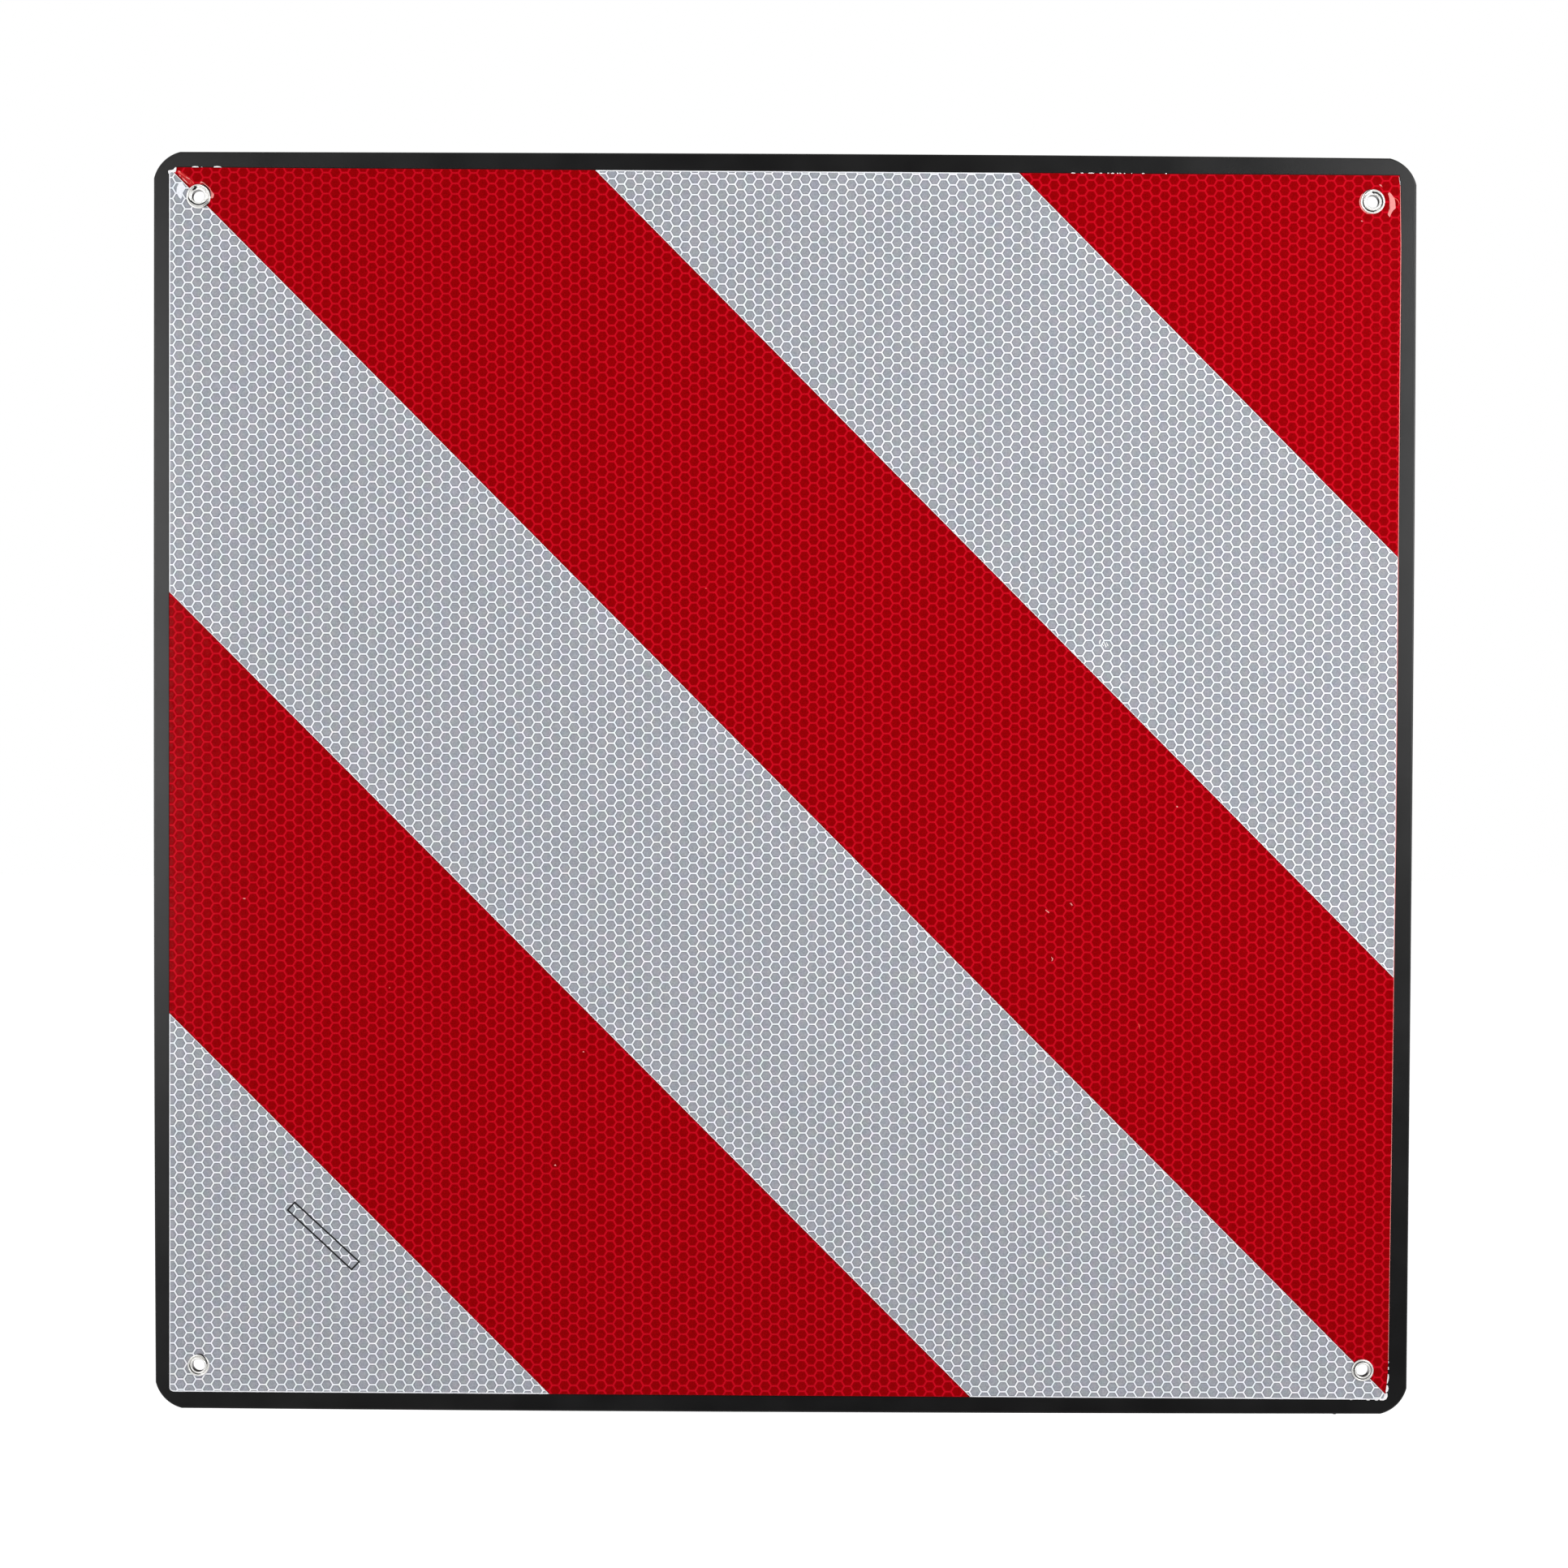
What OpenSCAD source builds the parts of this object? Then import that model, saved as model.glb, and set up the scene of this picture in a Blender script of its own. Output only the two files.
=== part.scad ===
// Overhanging load sign: a square plastic board faced with honeycomb reflective
// sheeting, crossed by red film stripes and tied on through four corner eyelets.
// The sign stands upright. Its face looks along -Y, +X is to the right and +Z is up.
// The origin is the centre of the four eyelets, on the back face of the board.
// Every sub-part is drawn lying flat, face up, and stood up at the end.

/* [Board] */
// Side of the square board, across its middle
board_side = 500; // [400:10:800]
// Thickness of the board
board_thickness = 2.5; // [1.5:0.1:6]
// How far the ends of each side fall back behind its middle
side_crown = 0.6; // [0:0.1:3]
// Where each corner arc starts, measured from the square's corner
corner_cut = 11; // [6:0.5:11]
// Radius of the corner arcs, flatter than an arc that would run smoothly into the sides
corner_radius = 14.4; // [12:0.2:30]
// Radius of the softened front and back edges
edge_radius = 0.6; // [0.2:0.1:0.7]

/* [Reflective sheeting] */
// Bare board left of the sheeting
rim_left = 5.7; // [2:0.1:9]
// Bare board right of the sheeting
rim_right = 6.4; // [2:0.1:9]
// Bare board above the sheeting
rim_top = 6.8; // [2:0.1:9]
// Bare board below the sheeting
rim_bottom = 6.8; // [2:0.1:9]
// Thickness of the sheeting with its adhesive
sheet_thickness = 0.4; // [0.2:0.05:1]
// Small turn of the sheeting on the board, clockwise, in degrees
sheet_turn = 0.06; // [0:0.02:0.3]

/* [Red film] */
// Width of the two stripes that meet on the board's diagonal, square to their edges
stripe_width = 118.4; // [80:0.2:150]
// Width of the two corner stripes, from the sheeting's corner square to their edge
corner_stripe_width = 107.5; // [60:0.5:115]
// Thickness of the red film laid over the sheeting
film_thickness = 0.1; // [0.05:0.05:0.3]
// Strip of sheeting that the film leaves bare round the outside
film_setback = 0.3; // [0.1:0.1:2]

/* [Eyelets] */
// Distance of each eyelet from the sides of the board
eyelet_inset = 18; // [16:0.5:40]
// Diameter of the hole through each eyelet
eyelet_bore = 5; // [3:0.5:7]
// Wall of the eyelet's barrel
eyelet_wall = 0.3; // [0.2:0.05:0.5]
// How far the back flange reaches past the barrel
flange_reach = 2; // [1:0.1:3]
// Height of the domed back flange
flange_height = 0.5; // [0.3:0.1:1]
// How far the rolled front lip reaches past the barrel on the lower eyelets
lower_lip_reach = 0.65; // [0.4:0.05:1.2]
// How far the rolled front lip reaches past the barrel on the upper eyelets
upper_lip_reach = 1.1; // [0.4:0.05:1.4]
// Height of the rolled front lip
lip_height = 0.6; // [0.4:0.1:1]
// Width of the splits in the upper eyelets' lips
split_width = 0.25; // [0.1:0.05:0.5]

/* [Washers] */
// Width of the raised ring round the lip
ring_width = 0.85; // [0.6:0.05:1.5]
// Height of the raised ring
ring_height = 0.55; // [0.4:0.05:1]
// Thickness of the flat ledge that the lip is rolled down on
ledge_thickness = 0.3; // [0.2:0.05:0.35]

/* [Clearances] */
// Gap between an eyelet's barrel and what it passes through
barrel_clearance = 0.1; // [0.05:0.05:0.3]
// Gap between the rolled lip and the washer's raised ring
lip_clearance = 0.1; // [0.05:0.05:0.3]

/* [Hidden] */

// Fineness of the curves
side_steps = 16;
corner_steps = 10;
edge_steps = 3;
profile_steps = 10;
round_fn = 96;

// Angles of the splits in each lip, anticlockwise from the right as the face is seen
top_left_splits = [118, 216];
top_right_splits = [88, 332];
no_splits = [];

// Front of each layer, measured from the back of the board
board_front = board_thickness;
sheet_front = board_front + sheet_thickness;
film_front = sheet_front + film_thickness;

// Outline of the board
half_side = board_side / 2;
side_end = half_side - corner_cut;
side_end_x = half_side - side_crown * pow(side_end / half_side, 2);
corner_chord = sqrt(2) * (side_end_x - side_end);
corner_mid = (side_end_x + side_end) / 2;
corner_centre = corner_mid - sqrt(pow(corner_radius, 2) - pow(corner_chord / 2, 2)) / sqrt(2);

// Sheeting and stripes
sheet_width = board_side - rim_left - rim_right;
sheet_height = board_side - rim_top - rim_bottom;
sheet_centre = [(rim_left - rim_right) / 2, (rim_bottom - rim_top) / 2];
stripe_reach = board_side;
corner_reach = (sheet_width + sheet_height) / 2 / sqrt(2);
corner_boundary = corner_reach - corner_stripe_width;

// Eyelets
eyelet_offset = half_side - eyelet_inset;
bore_radius = eyelet_bore / 2;
barrel_radius = bore_radius + eyelet_wall;
hole_radius = barrel_radius + barrel_clearance;

// Distance of the outline from the middle on one side, at a place along it, set in by an inset
function side_x(place, inset) = half_side - side_crown * pow(place / half_side, 2) - inset;

// Angle on a corner arc where it meets the side, for an outline set in by an inset
function arc_start(inset) =
    acos((side_end_x - inset - corner_centre) / (corner_radius - inset));

// Where the right side ends at its corner arc, for an outline set in by an inset
function side_top(inset) = corner_centre + (corner_radius - inset) * sin(arc_start(inset));

// Right side of the outline and the corner arc above it
function side_points(inset) = [
    for (step = [0 : side_steps - 1])
        let (place = side_top(inset) * (2 * step / side_steps - 1))
            [side_x(place, inset), place]
];
function corner_points(inset) = [
    for (step = [0 : corner_steps - 1])
        let (
            start = arc_start(inset),
            angle = start + (90 - 2 * start) * step / corner_steps
        )
            (corner_radius - inset) * [cos(angle), sin(angle)] + corner_centre * [1, 1]
];

// One quarter of the outline, and a point turned by quarter turns
function quarter(inset) = concat(side_points(inset), corner_points(inset));
function turned(point, turns) =
    turns == 0 ? point : turned([-point.y, point.x], turns - 1);
function outline(inset) = [
    for (turns = [0 : 3])
        for (point = quarter(inset))
            turned(point, turns)
];

// Stands a sub-part up, from lying flat with its face up
module upright() {
    rotate([90, 0, 0])
        children();
}

// Puts a sub-part at a corner's eyelet, given the corner as signs of X and Z
module at_eyelet(corner) {
    translate([corner.x * eyelet_offset, corner.y * eyelet_offset, 0])
        children();
}

// Holes for the four barrels, longer than the sign is thick
module barrel_holes() {
    for (across = [-1, 1], up = [-1, 1])
        at_eyelet([across, up])
            translate([0, 0, -1])
                cylinder(r = hole_radius, h = film_front + 2, $fn = round_fn);
}

// Board blank, with its front and back edges rounded
module board_blank() {
    hull()
        for (step = [0 : edge_steps]) {
            angle = 90 * step / edge_steps;
            inset = edge_radius * (1 - sin(angle));
            depth = edge_radius * (1 - cos(angle));
            translate([0, 0, depth])
                linear_extrude(board_thickness - 2 * depth)
                    polygon(outline(inset));
        }
}

module backing_board() {
    color([0.06, 0.06, 0.065])
        upright()
            difference() {
                board_blank();
                barrel_holes();
            }
}

// Sheeting's own rectangle in its place on the board, less a margin
module sheet_area(margin) {
    translate(sheet_centre)
        rotate(-sheet_turn)
            square([sheet_width - 2 * margin, sheet_height - 2 * margin], center = true);
}

module reflective_sheet() {
    color([0.86, 0.87, 0.9])
        upright()
            difference() {
                translate([0, 0, board_front])
                    linear_extrude(sheet_thickness)
                        sheet_area(0);
                barrel_holes();
            }
}

// Band along the board's diagonal, between two distances up and right of it
module stripe_band(low, high) {
    rotate(-45)
        translate([-stripe_reach, low])
            square([2 * stripe_reach, high - low]);
}

// Red film over one band, laid on the sheeting
module red_film(low, high) {
    color([0.7, 0.02, 0.05])
        upright()
            difference() {
                translate([0, 0, sheet_front])
                    linear_extrude(film_thickness)
                        intersection() {
                            sheet_area(film_setback);
                            stripe_band(low, high);
                        }
                barrel_holes();
            }
}

module red_film_lower() {
    red_film(-corner_boundary, -stripe_width);
}

module red_film_middle() {
    red_film(0, stripe_width);
}

module red_film_corner() {
    red_film(corner_boundary, stripe_reach);
}

// Half-round line from one radius to another, that rises to a height
function half_round(inner, outer, height) = [
    for (step = [0 : profile_steps])
        let (angle = 180 * (1 - step / profile_steps))
            [(inner + outer) / 2 + (outer - inner) / 2 * cos(angle), height * sin(angle)]
];

// Section of an eyelet: barrel, domed flange at the back and rolled lip at the front
function eyelet_section(lip_seat, lip_reach) = concat(
    [for (point = half_round(bore_radius, barrel_radius + flange_reach, flange_height))
        [point.x, -point.y]],
    [[barrel_radius, 0], [barrel_radius, lip_seat]],
    [for (step = [profile_steps : -1 : 0])
        let (point = half_round(bore_radius, barrel_radius + lip_reach, lip_height)[step])
            [point.x, lip_seat + point.y]]
);

// Slit through the rolled lip, from the barrel outwards
module lip_split(angle, lip_seat, lip_reach) {
    rotate(angle)
        translate([barrel_radius, -split_width / 2, lip_seat])
            cube([lip_reach + 1, split_width, lip_height + 1]);
}

// Eyelet set through the layers below a seat, its lip rolled down on the washer
module eyelet(corner, seat, lip_reach, splits) {
    lip_seat = seat + ledge_thickness;
    color([0.8, 0.79, 0.75])
        upright()
            at_eyelet(corner)
                difference() {
                    rotate_extrude($fn = round_fn)
                        polygon(eyelet_section(lip_seat, lip_reach));
                    for (angle = splits)
                        lip_split(angle, lip_seat, lip_reach);
                }
}

module eyelet_top_left() {
    eyelet([-1, 1], film_front, upper_lip_reach, top_left_splits);
}

module eyelet_top_right() {
    eyelet([1, 1], film_front, upper_lip_reach, top_right_splits);
}

module eyelet_bottom_left() {
    eyelet([-1, -1], sheet_front, lower_lip_reach, no_splits);
}

module eyelet_bottom_right() {
    eyelet([1, -1], film_front, lower_lip_reach, no_splits);
}

// Section of a washer: flat ledge under the lip and raised ring round it
function washer_section(lip_reach) =
    let (ring_start = barrel_radius + lip_reach + lip_clearance)
        concat(
            [[hole_radius, 0], [ring_start + ring_width, 0]],
            [for (step = [profile_steps - 1 : -1 : 1])
                let (point = half_round(ring_start, ring_start + ring_width, ring_height)[step])
                    [point.x, point.x < ring_start + ring_width / 2
                        ? max(point.y, ledge_thickness) : point.y]],
            [[ring_start, ledge_thickness], [hole_radius, ledge_thickness]]
        );

// Washer on a seat, round the eyelet's barrel
module washer(corner, seat, lip_reach) {
    color([0.84, 0.83, 0.79])
        upright()
            at_eyelet(corner)
                translate([0, 0, seat])
                    rotate_extrude($fn = round_fn)
                        polygon(washer_section(lip_reach));
}

module washer_top_left() {
    washer([-1, 1], film_front, upper_lip_reach);
}

module washer_top_right() {
    washer([1, 1], film_front, upper_lip_reach);
}

module washer_bottom_left() {
    washer([-1, -1], sheet_front, lower_lip_reach);
}

module washer_bottom_right() {
    washer([1, -1], film_front, lower_lip_reach);
}

backing_board();
reflective_sheet();
red_film_lower();
red_film_middle();
red_film_corner();
eyelet_top_left();
eyelet_top_right();
eyelet_bottom_left();
eyelet_bottom_right();
washer_top_left();
washer_top_right();
washer_bottom_left();
washer_bottom_right();
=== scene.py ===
import math

import bmesh
import bpy
from mathutils import Matrix, Vector


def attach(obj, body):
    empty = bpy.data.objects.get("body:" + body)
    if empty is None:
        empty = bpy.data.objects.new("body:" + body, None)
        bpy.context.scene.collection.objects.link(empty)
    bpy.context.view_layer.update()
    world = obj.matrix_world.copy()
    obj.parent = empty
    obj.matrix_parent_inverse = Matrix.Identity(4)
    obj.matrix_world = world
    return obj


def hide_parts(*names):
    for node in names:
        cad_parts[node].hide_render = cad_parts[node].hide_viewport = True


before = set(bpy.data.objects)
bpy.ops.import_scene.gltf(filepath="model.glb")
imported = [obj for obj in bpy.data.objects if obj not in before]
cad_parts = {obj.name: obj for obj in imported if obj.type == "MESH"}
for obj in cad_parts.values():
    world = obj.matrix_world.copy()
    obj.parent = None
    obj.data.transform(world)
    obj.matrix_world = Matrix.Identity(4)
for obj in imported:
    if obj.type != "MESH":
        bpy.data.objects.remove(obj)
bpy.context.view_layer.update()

# Sizes are in millimetres. Every piece is drawn lying flat, face up, with X to the right and
# Y up the sign, and is then hung upright in metres.

# Board
BOARD_HALF = 250.0
BOARD_FRONT = 2.5
SIDE_CROWN = 0.6
CORNER_CUT = 11.0
CORNER_CENTRE = 235.487
CORNER_SPAN = 100.0
CORNER_ZONE = 20.0
EDGE_SOFT = 0.6
# How far the two ends of each side stand further out, the left or lower end first
SIDE_ENDS = {"top": (0.3, -0.25), "bottom": (-0.05, 0.2), "left": (-0.15, 0.4), "right": (0.4, -0.05)}

# Sheeting: its corners as laid, and the heights of its layers above the board's back
SHEET_CORNERS = ((-243.65, 243.5), (242.5, 242.35), (242.95, 236.0), (243.4, 215.0), (243.5, -20.0),
                 (242.3, -228.0), (242.05, -234.2), (241.0, -243.75), (-243.65, -242.62))
ROUNDED_CORNERS = ((-243.65, -242.62, 1.7, -1), (241.1, -243.75, 1.2, 1))
NIPPED_FROM = (-243.65, 241.4)
NIPPED_TO = (-241.0, 243.1)
BACKING_TOP = 2.6
# The backing's near-black rim past the sheeting is painted contact shadow
BACKING_SHADOW_RIM = 0.25
WHITE_TOP = 2.9
RED_TOP = 3.0

# Honeycomb of seals and cells
COLUMN_PITCH = 3.642
ROW_PITCH = 4.1305
COLUMN_PAIRS = 68
ROWS = 120
CELL_AT = (0.866, 0.272)
LATTICE_TURN = 0.086
SEAL_HALF = 0.30
SHOULDER = 0.30
RELIEF = 0.035

# Holes that the washers hide, and the smallest edges that are kept, in the honeycomb and in any piece
BACKING_HOLE = 3.1
SHEET_HOLE = 3.15
SMALL_EDGE = 0.006
TINY_EDGE = 0.0002

# Places of the stripes' edges, as X + Y, and the widths of the lines along the edges
STRIPE_EDGES = (-335.12, -167.72, -0.32, 167.82, 334.88)
WHITE_SEAM = 0.28
RED_SEAM = 0.2
CUT_LINE = 0.42
RED_CUT_LINE = 0.14

# Eyelets and washers
EYELETS = {
    "top_left": (-232.0, 232.0),
    "top_right": (232.0, 232.0),
    "bottom_left": (-232.0, -232.0),
    "bottom_right": (232.0, -232.0),
}
BORE = 2.5
BARREL = 2.8
HOLE = 2.9
FLANGE_REACH = 2.0
FLANGE_HEIGHT = 0.5
LOWER_LIP = 0.65
UPPER_LIP = 1.1
LIP_HEIGHT = 0.6
LEDGE = 0.3
LIP_GAP = 0.1
GROOVE = 0.12
RING_INSET = 0.05
RING_WIDTH = 0.85
RING_HEIGHT = 0.55
LEDGE_DROP = 0.12

# How far each lip is rolled out round the eyelet: degrees from the right, and a share of its reach
ROLLED = {
    "top_left": ((0, 1.0), (45, 1.12), (82, 1.1), (100, 0.75), (112, 0.15), (126, 0.3), (145, 1.0), (180, 1.1),
                 (200, 0.8), (220, 0.25), (260, 0.15), (300, 0.25), (330, 0.75), (360, 1.0)),
    "top_right": ((0, 0.5), (40, 0.42), (78, 0.45), (90, 0.2), (97, 0.9), (120, 0.95), (170, 0.95), (230, 0.88),
                  (270, 0.8), (310, 0.6), (360, 0.5)),
    "bottom_left": ((0, 0.9), (50, 0.62), (130, 1.0), (180, 0.85), (225, 0.7), (300, 0.95), (360, 0.9)),
    "bottom_right": ((0, 0.85), (60, 1.0), (150, 0.7), (225, 0.95), (300, 0.7), (360, 0.85)),
}

# Painted shade in the eyelets' grooves, painted shadow on the film beside the washers, and painted shade and dark
# reflections across the rings, as lines of (degrees, distance from the middle, width)
GROOVE_PAINTED_SHADE = {
    "top_left": (((128, 3.6, 0.0), (118, 3.55, 0.7), (104, 3.3, 0.55), (88, 3.1, 0.0)),
                 ((176, 4.1, 0.0), (195, 3.9, 0.45), (212, 3.5, 0.7), (228, 3.32, 0.55), (250, 3.2, 0.4),
                  (295, 3.24, 0.36), (325, 3.55, 0.28), (350, 3.9, 0.0))),
    "top_right": (((-50, 3.86, 0.0), (-30, 3.86, 0.3), (-8, 3.84, 0.4), (15, 3.8, 0.45), (50, 3.75, 0.55),
                   (78, 3.68, 0.6), (92, 3.6, 0.8), (100, 3.6, 0.0)),
                  ((150, 3.94, 0.0), (172, 3.93, 0.32), (205, 3.91, 0.42), (245, 3.86, 0.46), (275, 3.82, 0.42),
                   (298, 3.78, 0.26), (315, 3.7, 0.0))),
    "bottom_left": (((165, 3.5, 0.0), (185, 3.47, 0.26), (215, 3.46, 0.36), (245, 3.46, 0.38), (270, 3.47, 0.3),
                     (292, 3.5, 0.0)),),
    "bottom_right": (((50, 3.48, 0.0), (75, 3.47, 0.24), (110, 3.46, 0.32), (180, 3.46, 0.34), (240, 3.46, 0.32),
                      (285, 3.44, 0.24), (345, 3.44, 0.2), (395, 3.48, 0.1), (405, 3.48, 0.0)),),
}
# Painted shadow on the film just outside the washers
WASHER_PAINTED_SHADOW = {
    "top_left": (((82, 4.95, 0.0), (60, 4.97, 0.26), (30, 4.97, 0.26), (8, 4.95, 0.0)),),
    "top_right": (((170, 4.92, 0.0), (150, 4.97, 0.2), (122, 4.97, 0.24), (100, 4.92, 0.0)),),
    "bottom_left": (),
    "bottom_right": (((170, 4.42, 0.0), (140, 4.48, 0.16), (110, 4.48, 0.16), (88, 4.42, 0.0)),),
}
# Painted shade and dark reflections across the washers' rings
RING_PAINTED_SHADE_AND_REFLECTION = {
    "top_left": (((-10, 4.35, 0.0), (-28, 4.2, 0.14), (-48, 4.05, 0.18), (-64, 4.0, 0.0)),
                 ((-26, 4.75, 0.0), (-42, 4.72, 0.3), (-58, 4.7, 0.25), (-70, 4.7, 0.0)),
                 ((80, 4.62, 0.0), (62, 4.68, 0.26), (35, 4.74, 0.3), (12, 4.8, 0.26), (0, 4.8, 0.0))),
    "top_right": (((162, 3.95, 0.0), (145, 4.12, 0.24), (125, 4.42, 0.3), (104, 4.6, 0.24), (92, 4.66, 0.0)),),
    "bottom_left": (((98, 4.5, 0.1), (80, 4.45, 0.35), (62, 4.2, 0.5), (48, 3.9, 0.4), (30, 3.6, 0.3),
                     (10, 3.5, 0.1)),),
}
# Pink ring of squeezed film beside the top right washer, its pale pink a painted highlight, as (degrees, distance,
# width)
FILM_RING = ((140, 5.05, 0.0), (150, 5.08, 0.32), (180, 5.1, 0.45), (215, 5.1, 0.4), (245, 5.05, 0.25),
             (262, 5.0, 0.0))

# Dark patch painted as shade in the torn gap of the top left lip, measured from the eyelet's middle
LIP_GAP_SHADE = ((-1.85, 4.3), (-1.2, 4.05), (0.35, 2.85), (-0.5, 3.05), (-1.2, 2.95), (-2.4, 2.4), (-2.2, 2.95),
                (-1.6, 3.4))

# Creases, patches and specks, as outlines or as lines with their widths. The pink and bright red ones are painted
# highlights on lifted and creased film and on raised specks, and the white specks are painted highlights on raised
# specks.
BARE_PATCHES = (
    ((-239.7, 237.6), (-238.7, 237.4), (-237.5, 235.9), (-238.2, 233.8), (-238.6, 233.1), (-238.5, 231.9),
     (-239.0, 231.0), (-239.7, 231.6), (-240.8, 233.5), (-240.6, 235.6)),
)
# Patches of lifted film, their pale pink a painted highlight
PINK_PATCHES = (
    ((-227.5, 234.5), (-226.7, 233.9), (-225.9, 232.9), (-226.2, 231.6), (-226.9, 231.2), (-227.4, 232.3)),
    ((238.4, 235.8), (239.1, 235.2), (240.0, 234.1), (240.6, 233.2), (240.9, 231.5), (241.0, 229.4), (240.0, 228.5),
     (239.2, 227.2), (238.8, 225.9), (238.2, 226.5), (238.0, 227.2), (238.6, 229.3), (238.7, 231.5), (238.5, 233.6),
     (238.0, 235.0)),
)
# Pink lines: painted highlights on creases and specks of the film
PINK_LINES = (
    ((-240.2, 242.0, 0.0), (-239.6, 241.8, 0.45), (-239.0, 241.4, 0.0)),
    ((-237.2, 239.9, 0.0), (-236.4, 239.3, 0.35), (-235.7, 238.9, 0.3), (-235.2, 238.7, 0.0)),
    ((-239.8, 240.5, 0.0), (-239.3, 240.1, 0.35), (-239.0, 239.8, 0.0)),
    ((-238.6, 239.5, 0.0), (-238.0, 238.9, 0.35), (-237.2, 238.1, 0.4), (-236.5, 237.4, 0.3), (-236.1, 237.1, 0.0)),
    ((-231.5, 237.3, 0.0), (-230.9, 237.6, 0.6), (-230.2, 237.4, 0.25), (-228.9, 236.4, 0.25), (-227.6, 235.2, 0.3),
     (-227.0, 234.0, 0.3)),
    ((234.4, 238.7, 0.0), (235.0, 238.5, 0.5), (235.8, 237.7, 0.0)),
    ((106.9, -67.5, 0.1), (107.4, -68.2, 0.5), (107.1, -69.2, 0.2)),
    ((104.5, -48.8, 0.35), (105.9, -49.9, 0.45)),
    ((114.3, -46.0, 0.35), (115.1, -46.9, 0.45)),
    ((-90.4, -151.3, 0.3), (-90.05, -151.4, 0.65), (-89.7, -151.5, 0.3)),
    ((-79.2, -106.1, 0.25), (-78.9, -106.1, 0.55), (-78.6, -106.1, 0.25)),
    ((-214.3, -45.6, 0.2), (-213.9, -45.65, 0.5), (-213.3, -45.7, 0.1)),
    ((156.1, -7.4, 0.25), (156.4, -7.5, 0.6), (156.8, -7.6, 0.25)),
    ((227.5, 224.4, 0.2), (227.8, 224.3, 0.4), (228.1, 224.2, 0.1)),
)
RIGHT_EDGE_LINE = ((242.8, 238.3, 0.16), (243.27, 215.0, 0.24), (243.35, 100.0, 0.2), (243.37, -20.0, 0.16),
                   (242.78, -140.0, 0.16), (242.22, -228.0, 0.16))
# Bright red lines painted as highlights on creases and specks of the film
BRIGHT_LINES = (
    ((-240.3, 241.7, 0.0), (-239.4, 241.2, 0.7), (-238.3, 240.6, 0.3), (-237.2, 239.6, 0.2), (-236.0, 238.5, 0.0)),
    ((-235.6, 238.7, 0.0), (-234.7, 238.1, 0.25), (-234.0, 237.3, 0.35), (-233.7, 236.8, 0.0)),
    ((-236.6, 237.5, 0.0), (-235.6, 236.9, 0.35), (-235.0, 237.3, 0.25), (-235.3, 238.1, 0.0)),
    ((240.0, 233.9, 0.1), (241.3, 233.0, 0.3), (242.0, 232.4, 0.3), (242.4, 231.4, 0.25), (241.9, 230.3, 0.0)),
    ((141.7, -93.8, 0.1), (142.0, -94.8, 0.35), (142.2, -96.2, 0.0)),
    ((-156.4, -80.9, 0.2), (-156.1, -80.9, 0.5), (-155.8, -80.9, 0.2)),
    ((-31.2, 78.2, 0.2), (-30.9, 78.2, 0.45), (-30.6, 78.2, 0.2)),
)
BLISTERS = (
    ((-240.6, 241.7), (-240.0, 242.4), (-238.4, 241.6), (-236.2, 239.9), (-234.2, 238.0), (-233.6, 236.9),
     (-235.4, 236.2), (-237.5, 238.1), (-239.6, 240.2)),
)
# White specks on the sheeting, raised a little, their white a painted highlight
WHITE_SPECKS = (
    ((125.7, 58.6, 0.3), (125.3, 57.9, 0.5), (125.2, 56.8, 0.3)),
    ((126.9, 57.8, 0.2), (127.9, 55.6, 0.5)),
    ((127.9, 57.6, 0.2), (128.6, 56.1, 0.4)),
    ((126.2, 57.2, 0.2), (126.8, 56.0, 0.35)),
    ((108.5, -144.8, 0.3), (109.3, -145.2, 0.7), (110.3, -145.6, 0.0)),
    ((106.2, -145.9, 0.2), (107.0, -147.0, 0.5)),
    ((116.3, -163.0, 0.3), (117.2, -163.6, 0.5), (118.5, -164.2, 0.2)),
    ((116.9, -162.7, 0.3), (117.6, -162.6, 0.8), (118.3, -162.9, 0.2)),
    ((119.4, -163.2, 0.2), (120.8, -162.8, 0.4)),
)
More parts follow.
